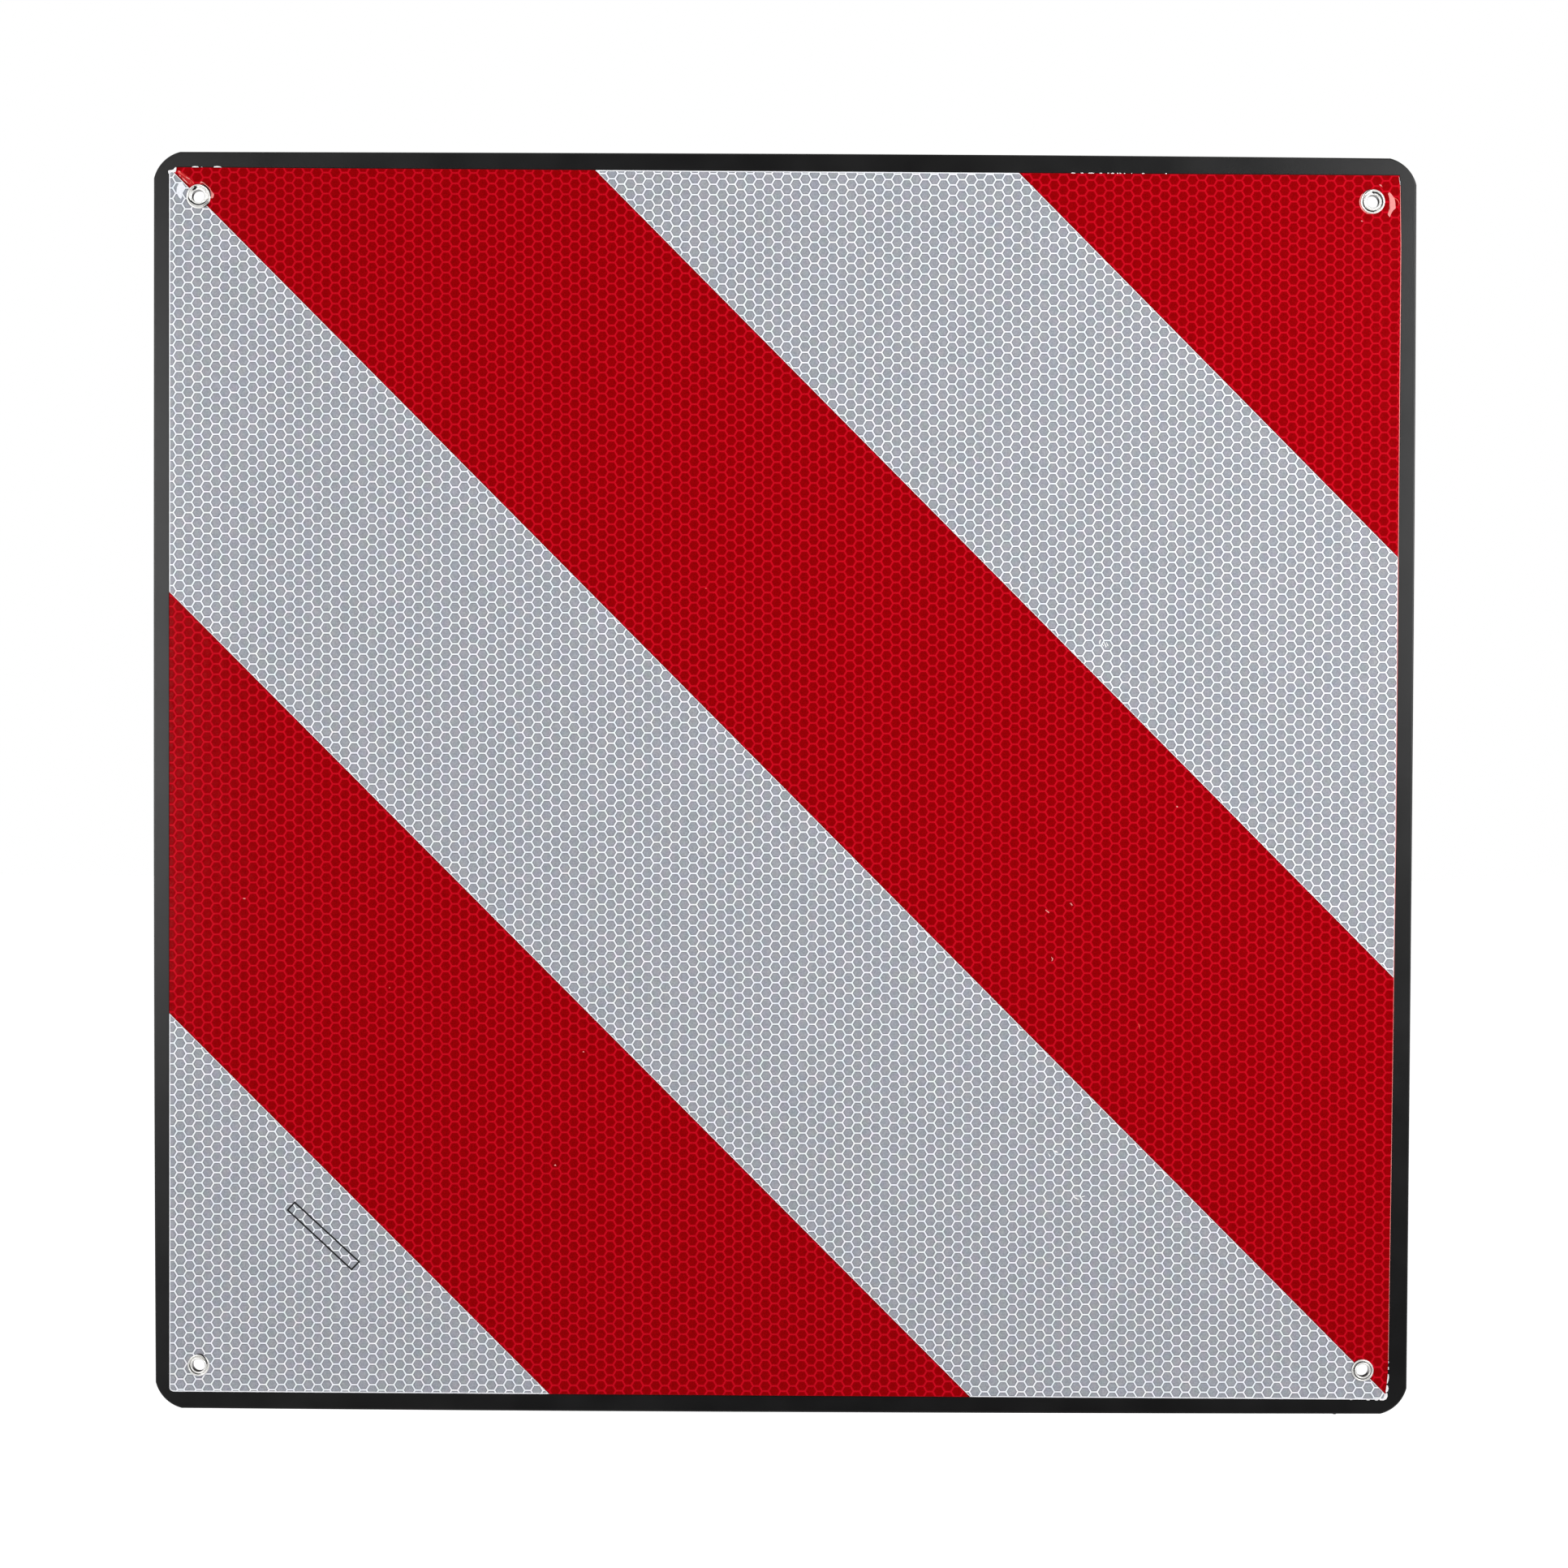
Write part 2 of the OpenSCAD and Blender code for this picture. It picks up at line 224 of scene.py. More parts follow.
# Torn white edge of the sheeting, which stands on the backing
TORN_EDGES = (
    ((-244.0, 241.0), (-244.1, 242.1), (-243.6, 242.35), (-242.9, 242.4), (-242.0, 242.65), (-241.5, 243.3),
     (-241.0, 243.6), (-240.65, 243.3), (-240.8, 242.3), (-241.05, 241.4), (-242.4, 241.5), (-243.3, 241.35),
     (-243.6, 240.9)),
    ((242.15, 241.7), (242.35, 242.0), (242.55, 241.4), (242.8, 239.9), (242.9, 238.6), (242.72, 238.4),
     (242.55, 239.4)),
    ((-234.7, 243.4), (-234.5, 243.9), (-233.3, 244.0), (-232.2, 243.9), (-231.8, 243.4)),
    ((-231.1, 243.45), (-230.8, 243.85), (-230.3, 243.4)),
    ((-226.2, 243.4), (-225.8, 244.0), (-224.6, 244.1), (-223.4, 243.9), (-222.8, 243.4)),
    ((242.05, -233.3), (242.55, -233.8), (242.65, -234.9), (242.4, -236.2), (242.0, -237.4), (241.65, -237.2),
     (241.8, -236.0), (241.95, -234.6)),
    ((241.55, -237.9), (242.2, -238.1), (242.5, -239.3), (242.2, -240.5), (241.6, -240.9), (241.2, -240.6),
     (241.4, -239.4)),
    ((241.15, -241.1), (242.05, -241.2), (242.15, -242.5), (241.6, -243.6), (240.5, -244.1), (239.0, -244.05),
     (239.0, -243.4), (240.2, -243.4), (240.8, -242.9), (241.0, -242.1)),
    ((238.7, -243.5), (238.2, -244.1), (237.3, -244.15), (236.6, -243.5)),
    ((235.3, -243.5), (234.9, -244.05), (233.9, -244.1), (233.3, -243.5)),
    ((228.4, -243.5), (228.0, -243.95), (227.3, -244.0), (226.7, -243.5)),
    ((242.1, -230.5), (242.55, -230.8), (242.55, -231.6), (242.05, -231.9)),
    ((242.15, -228.2), (242.5, -228.4), (242.5, -229.1), (242.15, -229.3)),
)
# White flecks along the upper edge, from one X to another
TOP_FLECKS = ((112.8, 114.4), (116.6, 117.6), (119.5, 121.8), (124.0, 125.0), (127.1, 127.7), (128.5, 129.8),
              (130.8, 131.4), (131.9, 132.5), (133.6, 134.1), (136.5, 136.8), (140.7, 141.7), (150.0, 150.6))
BURR = ((219.4, -249.3), (219.9, -249.7), (220.9, -249.97), (221.6, -249.95), (222.7, -249.3))

# How far wear and the painted highlight and shade marks stand proud of the sheeting or film under it, and the body of
# the torn edges
CRUMPLED = 0.09
FLAKED = 0.03
SCRAP = 0.05
TORN_BASE = BACKING_TOP - 0.08
TORN_RISE = RED_TOP - BACKING_TOP + 0.12

# Printed outline of an empty box near the bottom left corner
PRINT_CORNERS = ((-193.8, -166.2), (-167.6, -190.3), (-171.1, -193.9), (-197.0, -169.8))
PRINT_LINE = 0.66

# Face materials of the sheeting, in this order in every sheeting piece
SEAL, SLOPE, CELL, CUT, SEAM = 0, 1, 2, 3, 4


def surface_group():
    """Skin that several materials share: grain, broad patches, uneven gloss and fine bumps."""
    group = bpy.data.node_groups.new("uneven_skin", "ShaderNodeTree")
    for name, kind in (
        ("Colour", "NodeSocketColor"),
        ("Roughness", "NodeSocketFloat"),
        ("Grain Size", "NodeSocketFloat"),
        ("Grain Contrast", "NodeSocketFloat"),
        ("Patch Size", "NodeSocketFloat"),
        ("Patch Contrast", "NodeSocketFloat"),
        ("Tint Contrast", "NodeSocketFloat"),
        ("Gloss Spread", "NodeSocketFloat"),
        ("Bump Height", "NodeSocketFloat"),
    ):
        group.interface.new_socket(name=name, in_out="INPUT", socket_type=kind)
    for name, kind in (("Colour", "NodeSocketColor"), ("Roughness", "NodeSocketFloat"),
                       ("Normal", "NodeSocketVector")):
        group.interface.new_socket(name=name, in_out="OUTPUT", socket_type=kind)
    nodes, links = group.nodes, group.links
    given = nodes.new("NodeGroupInput")
    put = nodes.new("NodeGroupOutput")
    where = nodes.new("ShaderNodeTexCoord")

    def noise(size, detail):
        per = nodes.new("ShaderNodeMath")
        per.operation = "DIVIDE"
        per.inputs[0].default_value = 1.0
        links.new(given.outputs[size], per.inputs[1])
        texture = nodes.new("ShaderNodeTexNoise")
        texture.inputs["Detail"].default_value = detail
        links.new(where.outputs["Object"], texture.inputs["Vector"])
        links.new(per.outputs[0], texture.inputs["Scale"])
        spread = nodes.new("ShaderNodeMapRange")
        spread.inputs["From Min"].default_value = 0.3
        spread.inputs["From Max"].default_value = 0.7
        spread.inputs["To Min"].default_value = -1.0
        spread.inputs["To Max"].default_value = 1.0
        links.new(texture.outputs["Fac"], spread.inputs["Value"])
        return spread.outputs["Result"], texture.outputs["Color"]

    def times(a, b):
        node = nodes.new("ShaderNodeMath")
        node.operation = "MULTIPLY"
        links.new(a, node.inputs[0])
        links.new(b, node.inputs[1])
        return node.outputs[0]

    def plus(a, b):
        node = nodes.new("ShaderNodeMath")
        node.operation = "ADD"
        links.new(a, node.inputs[0])
        if isinstance(b, float):
            node.inputs[1].default_value = b
        else:
            links.new(b, node.inputs[1])
        return node.outputs[0]

    def vector(operation, a, b=None, scale=None, fixed=None):
        node = nodes.new("ShaderNodeVectorMath")
        node.operation = operation
        links.new(a, node.inputs[0])
        if b is not None:
            links.new(b, node.inputs[1])
        if scale is not None:
            links.new(scale, node.inputs["Scale"])
        if fixed is not None:
            node.inputs[1].default_value = fixed
        return node.outputs[0]

    grain, _ = noise("Grain Size", 2.0)
    patch, hues = noise("Patch Size", 3.0)
    both = plus(times(grain, given.outputs["Grain Contrast"]), times(patch, given.outputs["Patch Contrast"]))
    shade = plus(both, 1.0)
    off_grey = vector("SUBTRACT", hues, fixed=(0.5, 0.5, 0.5))
    tint = vector("ADD", vector("SCALE", off_grey, scale=given.outputs["Tint Contrast"]), fixed=(1, 1, 1))
    shaded = vector("SCALE", given.outputs["Colour"], scale=shade)
    links.new(vector("MULTIPLY", shaded, tint), put.inputs["Colour"])
    gloss = plus(given.outputs["Roughness"], times(patch, given.outputs["Gloss Spread"]))
    links.new(gloss, put.inputs["Roughness"])
    bump = nodes.new("ShaderNodeBump")
    bump.inputs["Strength"].default_value = 1.0
    bump.inputs["Distance"].default_value = 1.0
    links.new(times(grain, given.outputs["Bump Height"]), bump.inputs["Height"])
    links.new(bump.outputs["Normal"], put.inputs["Normal"])
    return group


SKIN = surface_group()


def skin_material(name, colour, roughness, grain=(0.0004, 0.05), patch=(0.01, 0.04), tint=0.0, spread=0.03,
                  bump=0.000002, metallic=0.0, specular=0.5):
    mat = bpy.data.materials.new(name)
    mat.use_nodes = True
    mat.diffuse_color = (*colour, 1.0)
    nodes, links = mat.node_tree.nodes, mat.node_tree.links
    shader = nodes["Principled BSDF"]
    shader.inputs["Metallic"].default_value = metallic
    shader.inputs["Specular IOR Level"].default_value = specular
    skin = nodes.new("ShaderNodeGroup")
    skin.node_tree = SKIN
    skin.inputs["Colour"].default_value = (*colour, 1.0)
    skin.inputs["Roughness"].default_value = roughness
    skin.inputs["Grain Size"].default_value = grain[0]
    skin.inputs["Grain Contrast"].default_value = grain[1]
    skin.inputs["Patch Size"].default_value = patch[0]
    skin.inputs["Patch Contrast"].default_value = patch[1]
    skin.inputs["Tint Contrast"].default_value = tint
    skin.inputs["Gloss Spread"].default_value = spread
    skin.inputs["Bump Height"].default_value = bump
    links.new(skin.outputs["Colour"], shader.inputs["Base Color"])
    links.new(skin.outputs["Roughness"], shader.inputs["Roughness"])
    links.new(skin.outputs["Normal"], shader.inputs["Normal"])
    return mat


def make_materials():
    white = dict(roughness=0.14, specular=0.35, patch=(0.004, 0.035), tint=0.2)
    red = dict(roughness=0.12, specular=0.1, patch=(0.003, 0.07))
    dull = dict(roughness=0.3, specular=0.0, patch=(0.003, 0.05))
    torn = dict(roughness=0.4, specular=0.2, patch=(0.001, 0.08))
    metal = dict(grain=(0.0003, 0.02), patch=(0.002, 0.03), spread=0.03, bump=0.0000004)
    return {
        "board": skin_material("board_plastic", (0.0035, 0.0034, 0.0037), 0.34,
                               grain=(0.0005, 0.12), patch=(0.02, 0.12), spread=0.03, bump=0.000004),
        # Near-black adhesive, whose rim beside the sheeting is painted contact shadow
        "backing": skin_material("adhesive_with_painted_shadow", (0.002, 0.002, 0.002), 0.8, specular=0.1),
        "white_seal": skin_material("white_seal", (0.90, 0.92, 0.97), grain=(0.0006, 0.03), **white),
        # The white cells' rims are a darker copy of the cell grey: painted shade inside the seals
        "white_slope": skin_material("white_cell_rim_painted_shade", (0.215, 0.225, 0.257), grain=(0.0006, 0.06), **dull),
        "white_cell": skin_material("white_cell", (0.348, 0.362, 0.402), grain=(0.0006, 0.15), **white),
        "white_cut": skin_material("white_cut_edge", (0.86, 0.87, 0.91), grain=(0.0006, 0.06), **dull),
        "white_seam": skin_material("white_seam", (0.93, 0.89, 0.91), grain=(0.0006, 0.08), **dull),
        "red_seal": skin_material("red_seal", (0.555, 0.0035, 0.013), grain=(0.0006, 0.06), **red),
        "red_slope": skin_material("red_cell_rim", (0.34, 0.0006, 0.0035), grain=(0.0006, 0.06), **dull),
        "red_cell": skin_material("red_cell", (0.285, 0.0004, 0.002), grain=(0.0006, 0.17), **red),
        "red_cut": skin_material("red_cut_edge", (0.22, 0.006, 0.008), grain=(0.0006, 0.1), **dull),
        "red_seam": skin_material("red_seam", (0.09, 0.001, 0.002), grain=(0.0006, 0.1), **dull),
        # Pale pink of lifted and creased film: painted highlight
        "pink": skin_material("lifted_film_and_highlights", (0.86, 0.29, 0.27), grain=(0.0003, 0.08), **torn),
        # Lit copy of the red film: painted highlight on creases and specks
        "bright": skin_material("painted_film_highlights", (0.84, 0.075, 0.065), grain=(0.0003, 0.1), **torn),
        "blister": skin_material("blistered_film", (0.5, 0.006, 0.010), grain=(0.0003, 0.1), **torn),
        "bare": skin_material("lifted_sheeting", (0.86, 0.88, 0.94), grain=(0.0003, 0.05), **torn),
        "chip": skin_material("torn_sheeting", (0.93, 0.92, 0.93), grain=(0.0003, 0.05), **torn),
        "eyelet": skin_material("eyelet_nickel", (0.98, 0.975, 0.95), 0.36, metallic=0.7, **metal),
        # Darker copy of the nickel for the bore: painted shade inside the hole
        "bore": skin_material("eyelet_bore", (0.42, 0.40, 0.40), 0.28, metallic=1.0, **metal),
        "washer": skin_material("washer_nickel", (0.98, 0.975, 0.95), 0.36, metallic=0.7, **metal),
        # Near-black for painted shade, painted shadow and painted dark reflections at the eyelets
        "painted_eyelet_shade": skin_material("painted_eyelet_shade", (0.010, 0.010, 0.011), 0.6, grain=(0.0002, 0.3), specular=0.2),
        "print": skin_material("black_print", (0.01, 0.01, 0.012), 0.3, grain=(0.0003, 0.2)),
    }


LOOKS = make_materials()


def hang(bm, name, looks, stands_for=()):
    """Clears slivers, then hangs a drawn piece upright in the frame, in metres, with its face forwards."""
    bmesh.ops.dissolve_degenerate(bm, dist=TINY_EDGE, edges=bm.edges)
    spare = [f for f in bm.faces if any(e.is_boundary for e in f.edges)]
    bmesh.ops.delete(bm, geom=spare, context="FACES")
    bmesh.ops.rotate(bm, cent=(0, 0, 0), matrix=Matrix.Rotation(math.pi / 2, 3, "X"), verts=bm.verts)
    bmesh.ops.scale(bm, vec=(0.001, 0.001, 0.001), verts=bm.verts)
    bmesh.ops.recalc_face_normals(bm, faces=bm.faces)
    mesh = bpy.data.meshes.new(name)
    bm.to_mesh(mesh)
    bm.free()
    for look in looks:
        mesh.materials.append(LOOKS[look])
    piece = bpy.data.objects.new(name, mesh)
    bpy.context.scene.collection.objects.link(piece)
    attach(piece, "root")
    if stands_for:
        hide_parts(*stands_for)
    return piece


def verts_of(geom):
    return [item for item in geom if isinstance(item, bmesh.types.BMVert)]


def faces_of(geom):
    return [item for item in geom if isinstance(item, bmesh.types.BMFace)]


def smooth_all(bm):
    for face in bm.faces:
        face.smooth = True


def all_of(bm):
    return bm.verts[:] + bm.edges[:] + bm.faces[:]


# ---- Board


def corner_arc(bm):
    """One rounded corner, which meets the sides at a slight angle."""
    end = BOARD_HALF - CORNER_CUT
    across = BOARD_HALF - SIDE_CROWN * (end / BOARD_HALF) ** 2
    turn = math.pi / 2 - 2 * math.atan2(end - CORNER_CENTRE, across - CORNER_CENTRE)
    start = bm.verts.new((across, end, 0))
    centre = (CORNER_CENTRE, CORNER_CENTRE, 0)
    bmesh.ops.spin(bm, geom=[start], cent=centre, axis=(0, 0, 1), angle=turn, steps=16)


def join_sides(bm):
    """Joins the corner arcs with sides that bow out a little."""
    ends = [v for v in bm.verts if len(v.link_edges) == 1]
    ends.sort(key=lambda v: math.atan2(v.co.y, v.co.x))
    if math.hypot(*(ends[0].co - ends[1].co).xy) < CORNER_SPAN:
        ends.append(ends.pop(0))
    sides = [bm.edges.new((ends[i], ends[i + 1])) for i in range(0, 8, 2)]
    bmesh.ops.subdivide_edges(bm, edges=sides, cuts=23)
    for v in bm.verts:
        x, y = v.co.x, v.co.y
        if abs(abs(x) - abs(y)) > CORNER_ZONE:
            along, far = (y, x) if abs(x) > abs(y) else (x, y)
            crowned = math.copysign(BOARD_HALF - SIDE_CROWN * (along / BOARD_HALF) ** 2, far)
            if abs(x) > abs(y):
                v.co.x = crowned
            else:
                v.co.y = crowned


def out_of_square(bm):
    """Moves the ends of each side in or out a little, as on the sawn board."""
    for v in bm.verts:
        x, y = v.co.x / BOARD_HALF, v.co.y / BOARD_HALF
        across = SIDE_ENDS["right" if x > 0 else "left"][y > 0] * y * y * abs(x)
        along = SIDE_ENDS["top" if y > 0 else "bottom"][x > 0] * x * x * abs(y)
        v.co.x += across * (1 if x > 0 else -1)
        v.co.y += along * (1 if y > 0 else -1)


def drilled_cap(bm, height):
    """Closes the board's blank at one height, and leaves the holes for the four eyelets."""
    rims = [e for e in bm.edges if e.is_boundary and abs(e.verts[0].co.z - height) < 0.01]
    holes = []
    for x, y in EYELETS.values():
        made = bmesh.ops.create_circle(bm, segments=48, radius=HOLE, matrix=Matrix.Translation((x, y, height)))
        holes.append(list(dict.fromkeys(e for v in made["verts"] for e in v.link_edges)))
    bmesh.ops.triangle_fill(bm, edges=rims + sum(holes, []), normal=(0, 0, 1))
    return holes


def make_board():
    bm = bmesh.new()
    corner_arc(bm)
    corner = all_of(bm)
    for turns in (1, 2, 3):
        copy = bmesh.ops.duplicate(bm, geom=corner)["geom"]
        turn = Matrix.Rotation(turns * math.pi / 2, 3, "Z")
        bmesh.ops.rotate(bm, cent=(0, 0, 0), matrix=turn, verts=verts_of(copy))
    join_sides(bm)
    out_of_square(bm)
    bmesh.ops.contextual_create(bm, geom=bm.edges[:])
    raised = bmesh.ops.extrude_face_region(bm, geom=bm.faces[:])["geom"]
    bmesh.ops.translate(bm, vec=(0, 0, BOARD_FRONT), verts=verts_of(raised))
    rims = [e for e in bm.edges if abs(e.verts[0].co.z - e.verts[1].co.z) < 0.01]
    bmesh.ops.bevel(bm, geom=rims, offset=EDGE_SOFT, segments=4, profile=0.5, affect="EDGES", material=-1)
    caps = [f for f in bm.faces if len(f.verts) > 50]
    bmesh.ops.delete(bm, geom=caps, context="FACES_ONLY")
    for back, front in zip(drilled_cap(bm, 0), drilled_cap(bm, BOARD_FRONT)):
        bmesh.ops.bridge_loops(bm, edges=back + front)
    return hang(bm, "board", ["board"], ["backing_board"])


# ---- Sheeting


def sheet_sides():
    """Each side of the sheeting as a point on it and the way out of it."""
    corners = [Vector((*c, 0)) for c in SHEET_CORNERS]
    sides = []
    for a, b in zip(corners, corners[1:] + corners[:1]):
        way = (b - a).normalized()
        sides.append((a, Vector((-way.y, way.x, 0))))
    return sides


def corner_cuts():
    """The sheeting's corners: one is cut off, two are rounded."""
    a, b = Vector((*NIPPED_FROM, 0)), Vector((*NIPPED_TO, 0))
    way = (b - a).normalized()
    cuts = [(a, Vector((-way.y, way.x, 0)))]
    for x, y, radius, side in ROUNDED_CORNERS:
        middle = Vector((x - side * radius, y + radius, 0))
        for degrees in (15, 35, 55, 75):
            turn = math.radians(degrees)
            way = Vector((side * math.cos(turn), -math.sin(turn), 0))
            cuts.append((middle + way * radius, way))
    return cuts


SHEET_SIDES = sheet_sides() + corner_cuts()
ACROSS = Vector((1, 1, 0)).normalized()


def make_backing():
    """Adhesive layer under the sheeting; its near-black rim, a little proud of the sheeting all round, is painted
    contact shadow.
    """
    bm = bmesh.new()
    bmesh.ops.create_grid(bm, x_segments=1, y_segments=1, size=248, matrix=Matrix.Translation((0, 0, BOARD_FRONT)))
    for co, no in SHEET_SIDES:
        bmesh.ops.bisect_plane(bm, geom=all_of(bm), dist=0.0001, plane_co=co + no * BACKING_SHADOW_RIM, plane_no=no,
                               clear_outer=True)
    for centre in EYELETS.values():
        cut_hole(bm, Vector((*centre, 0)), BACKING_HOLE)
    close_down(bm, BOARD_FRONT, BACKING_TOP)
    return hang(bm, "sheet_backing", ["backing"], ["reflective_sheet"])


def cut_hole(bm, centre, radius, sides=8):
    """Cuts a many-sided hole for a barrel, which the washer hides."""
    ways = [Vector((math.cos(a), math.sin(a), 0)) for a in (2 * math.pi * i / sides for i in range(sides))]
    few = len(bm.faces) < 200
    near = [f for f in bm.faces if few or (f.verts[0].co - centre).length < radius + 6]
    geom = list(dict.fromkeys(item for f in near for item in (*f.verts, *f.edges))) + near
    for way in ways:
        geom = bmesh.ops.bisect_plane(bm, geom=geom, dist=0.002, plane_co=centre + way * radius, plane_no=way)["geom"]
    inside = [f for f in faces_of(geom)
              if all((f.calc_center_median() - centre).dot(way) < radius for way in ways)]
    bmesh.ops.delete(bm, geom=inside, context="FACES")


def one_cell(bm, column, row):
    """A cell of the sheeting: flat seal round it, sloping shoulder and sunk face."""
    turned = Matrix.Translation((column * COLUMN_PITCH, row * ROW_PITCH, 0)) @ Matrix.Scale(
        COLUMN_PITCH / (ROW_PITCH * math.sqrt(3) / 2), 4, (1, 0, 0)) @ Matrix.Rotation(math.pi / 6, 4, "Z")
    made = bmesh.ops.create_circle(bm, cap_ends=True, segments=6, radius=ROW_PITCH / math.sqrt(3), matrix=turned)
    face = made["verts"][0].link_faces[0]
    seal = bmesh.ops.inset_individual(bm, faces=[face], thickness=SEAL_HALF, use_even_offset=True)["faces"]
    for f in seal:
        f.material_index = SEAL
    slope = bmesh.ops.inset_individual(bm, faces=[face], thickness=SHOULDER, depth=-RELIEF,
                                       use_even_offset=True)["faces"]
    for f in slope:
        f.material_index = SLOPE
    face.material_index = CELL


def repeat(bm, step, count):
    """Repeats the drawing along a step, by doubling it where the count is even."""
    if count % 2 == 0:
        repeat(bm, step, count // 2)
        copy = bmesh.ops.duplicate(bm, geom=all_of(bm))["geom"]
        bmesh.ops.translate(bm, vec=Vector(step) * (count // 2), verts=verts_of(copy))
        return
    first = all_of(bm)
    for place in range(1, count):
        copy = bmesh.ops.duplicate(bm, geom=first)["geom"]
        bmesh.ops.translate(bm, vec=Vector(step) * place, verts=verts_of(copy))


def cut_line(bm, co, no, reach=8.0, trim=False):
    """Cuts the faces near a line along it, and trims off all that lies past it."""
    offset = co.dot(no)
    near, past = [], []
    for f in bm.faces:
        place = f.verts[0].co.dot(no) - offset
        if -reach < place < reach:
            near.append(f)
        elif place > 0:
            past.append(f)
    if trim:
        bmesh.ops.delete(bm, geom=past, context="FACES")
    geom = list(dict.fromkeys(item for f in near for item in (*f.verts, *f.edges))) + near
    bmesh.ops.bisect_plane(bm, geom=geom, dist=0.004, plane_co=co, plane_no=no, clear_outer=trim)


def make_lattice():
    """The whole honeycomb, trimmed to the sheeting, with lines cut along its sides."""
    bm = bmesh.new()
    one_cell(bm, 0, 0)
    one_cell(bm, 1, 0.5)
    repeat(bm, (2 * COLUMN_PITCH, 0, 0), COLUMN_PAIRS)
    repeat(bm, (0, ROW_PITCH, 0), ROWS)
    start = (-COLUMN_PAIRS * COLUMN_PITCH + CELL_AT[0], -ROWS // 2 * ROW_PITCH + CELL_AT[1], 0)
    bmesh.ops.translate(bm, vec=start, verts=bm.verts)
    bmesh.ops.rotate(bm, cent=(*CELL_AT, 0), matrix=Matrix.Rotation(math.radians(LATTICE_TURN), 3, "Z"),
                     verts=bm.verts)
    bmesh.ops.remove_doubles(bm, verts=bm.verts, dist=0.02)
    for co, no in SHEET_SIDES:
        cut_line(bm, co, no, trim=True)
    for co, no in SHEET_SIDES:
        cut_line(bm, co - no * CUT_LINE, no)
        cut_line(bm, co - no * RED_CUT_LINE, no)
    return bm


def close_down(bm, low, top=None):
    """Gives a sheet its thickness: walls down from its borders and a flat underside."""
    borders = [e for e in bm.edges if e.is_boundary]
    walls = bmesh.ops.extrude_edge_only(bm, edges=borders)["geom"]
    if top is not None:
        for v in set(bm.verts) - set(verts_of(walls)):
            v.co.z += top - low
    for v in verts_of(walls):
        v.co.z = low
    for f in faces_of(walls):
        f.material_index = CUT if top is None else 0
    known = set(bm.faces)
    bmesh.ops.triangle_fill(bm, edges=[e for e in bm.edges if e.is_boundary], normal=(0, 0, -1))
    return [f for f in bm.faces if f not in known]


def lay_bake_map(bm, low, under):
    """Flat map in five bands: the seams share the seals' band, and the underside has the last."""
    layer = bm.loops.layers.uv.new("OFBake")
    along = Vector((1, -1, 0)).normalized()
    under = set(under)
    for f in bm.faces:
        band = 4 if f in under else f.material_index % 4
        wall = f.normal.length > 0 and abs(f.normal.z) < 0.3
        for loop in f.loops:
            co = loop.vert.co
            lift = (co.z - BACKING_TOP) * 6 if wall else 0.0
            loop[layer].uv = (0.5 + co.dot(along) / 730, 0.01 + (co.dot(ACROSS) - low + lift) / 730 + 0.196 * band)


def make_stripe(lattice, name, low, high, red, stands_for=()):
    """One stripe of the sheeting, between two lines across the board."""
    bm = lattice.copy()
    seam = RED_SEAM if red else WHITE_SEAM
    if low is not None:
        cut_line(bm, ACROSS * low, -ACROSS, trim=True)
        cut_line(bm, ACROSS * (low + seam), ACROSS)
    if high is not None:
        cut_line(bm, ACROSS * high, ACROSS, trim=True)
        cut_line(bm, ACROSS * (high - seam), ACROSS)
    for centre in EYELETS.values():
        place = Vector((*centre, 0)).dot(ACROSS)
        if (low is None or place > low - 6) and (high is None or place < high + 6):
            cut_hole(bm, Vector((*centre, 0)), SHEET_HOLE)
    edge = RED_CUT_LINE if red else CUT_LINE
    for f in bm.faces:
        co = f.calc_center_median()
        place = co.dot(ACROSS)
        if any((co - at).dot(no) > -edge for at, no in SHEET_SIDES):
            f.material_index = CUT
        elif (low is not None and place < low + seam) or (high is not None and place > high - seam):
            f.material_index = SEAM
    bmesh.ops.dissolve_degenerate(bm, dist=SMALL_EDGE, edges=bm.edges)
    bmesh.ops.translate(bm, vec=(0, 0, RED_TOP if red else WHITE_TOP), verts=bm.verts)
    under = close_down(bm, BACKING_TOP)
    bm.normal_update()
    lay_bake_map(bm, -345.0 if low is None else low, under)
    kind = "red" if red else "white"
    looks = [f"{kind}_{part}" for part in ("seal", "slope", "cell", "cut", "seam")]
    return hang(bm, name, looks, stands_for)


def make_sheeting():
    lattice = make_lattice()
    edges = [place / math.sqrt(2) for place in STRIPE_EDGES]
    make_stripe(lattice, "white_corner", None, edges[0], False)
    make_stripe(lattice, "red_lower", edges[0], edges[1], True, ["red_film_lower"])
    make_stripe(lattice, "white_lower", edges[1], edges[2], False)
    make_stripe(lattice, "red_middle", edges[2], edges[3], True, ["red_film_middle"])
    make_stripe(lattice, "white_upper", edges[3], edges[4], False)
    make_stripe(lattice, "red_corner", edges[4], None, True, ["red_film_corner"])
    lattice.free()


def make_print():
    """Thin printed outline of a box, a hair above the seals."""
    bm = bmesh.new()
    face = bmesh.ops.contextual_create(bm, geom=[bm.verts.new((x, y, WHITE_TOP + 0.01)) for x, y in PRINT_CORNERS])
    box = face["faces"][0]
    bmesh.ops.inset_individual(bm, faces=[box], thickness=PRINT_LINE, use_even_offset=True)
    bmesh.ops.delete(bm, geom=[box], context="FACES_ONLY")
    raised = bmesh.ops.extrude_face_region(bm, geom=bm.faces[:])["geom"]
    bmesh.ops.translate(bm, vec=(0, 0, 0.02), verts=verts_of(raised))
    return hang(bm, "printed_box", ["print"])


# ---- Eyelets


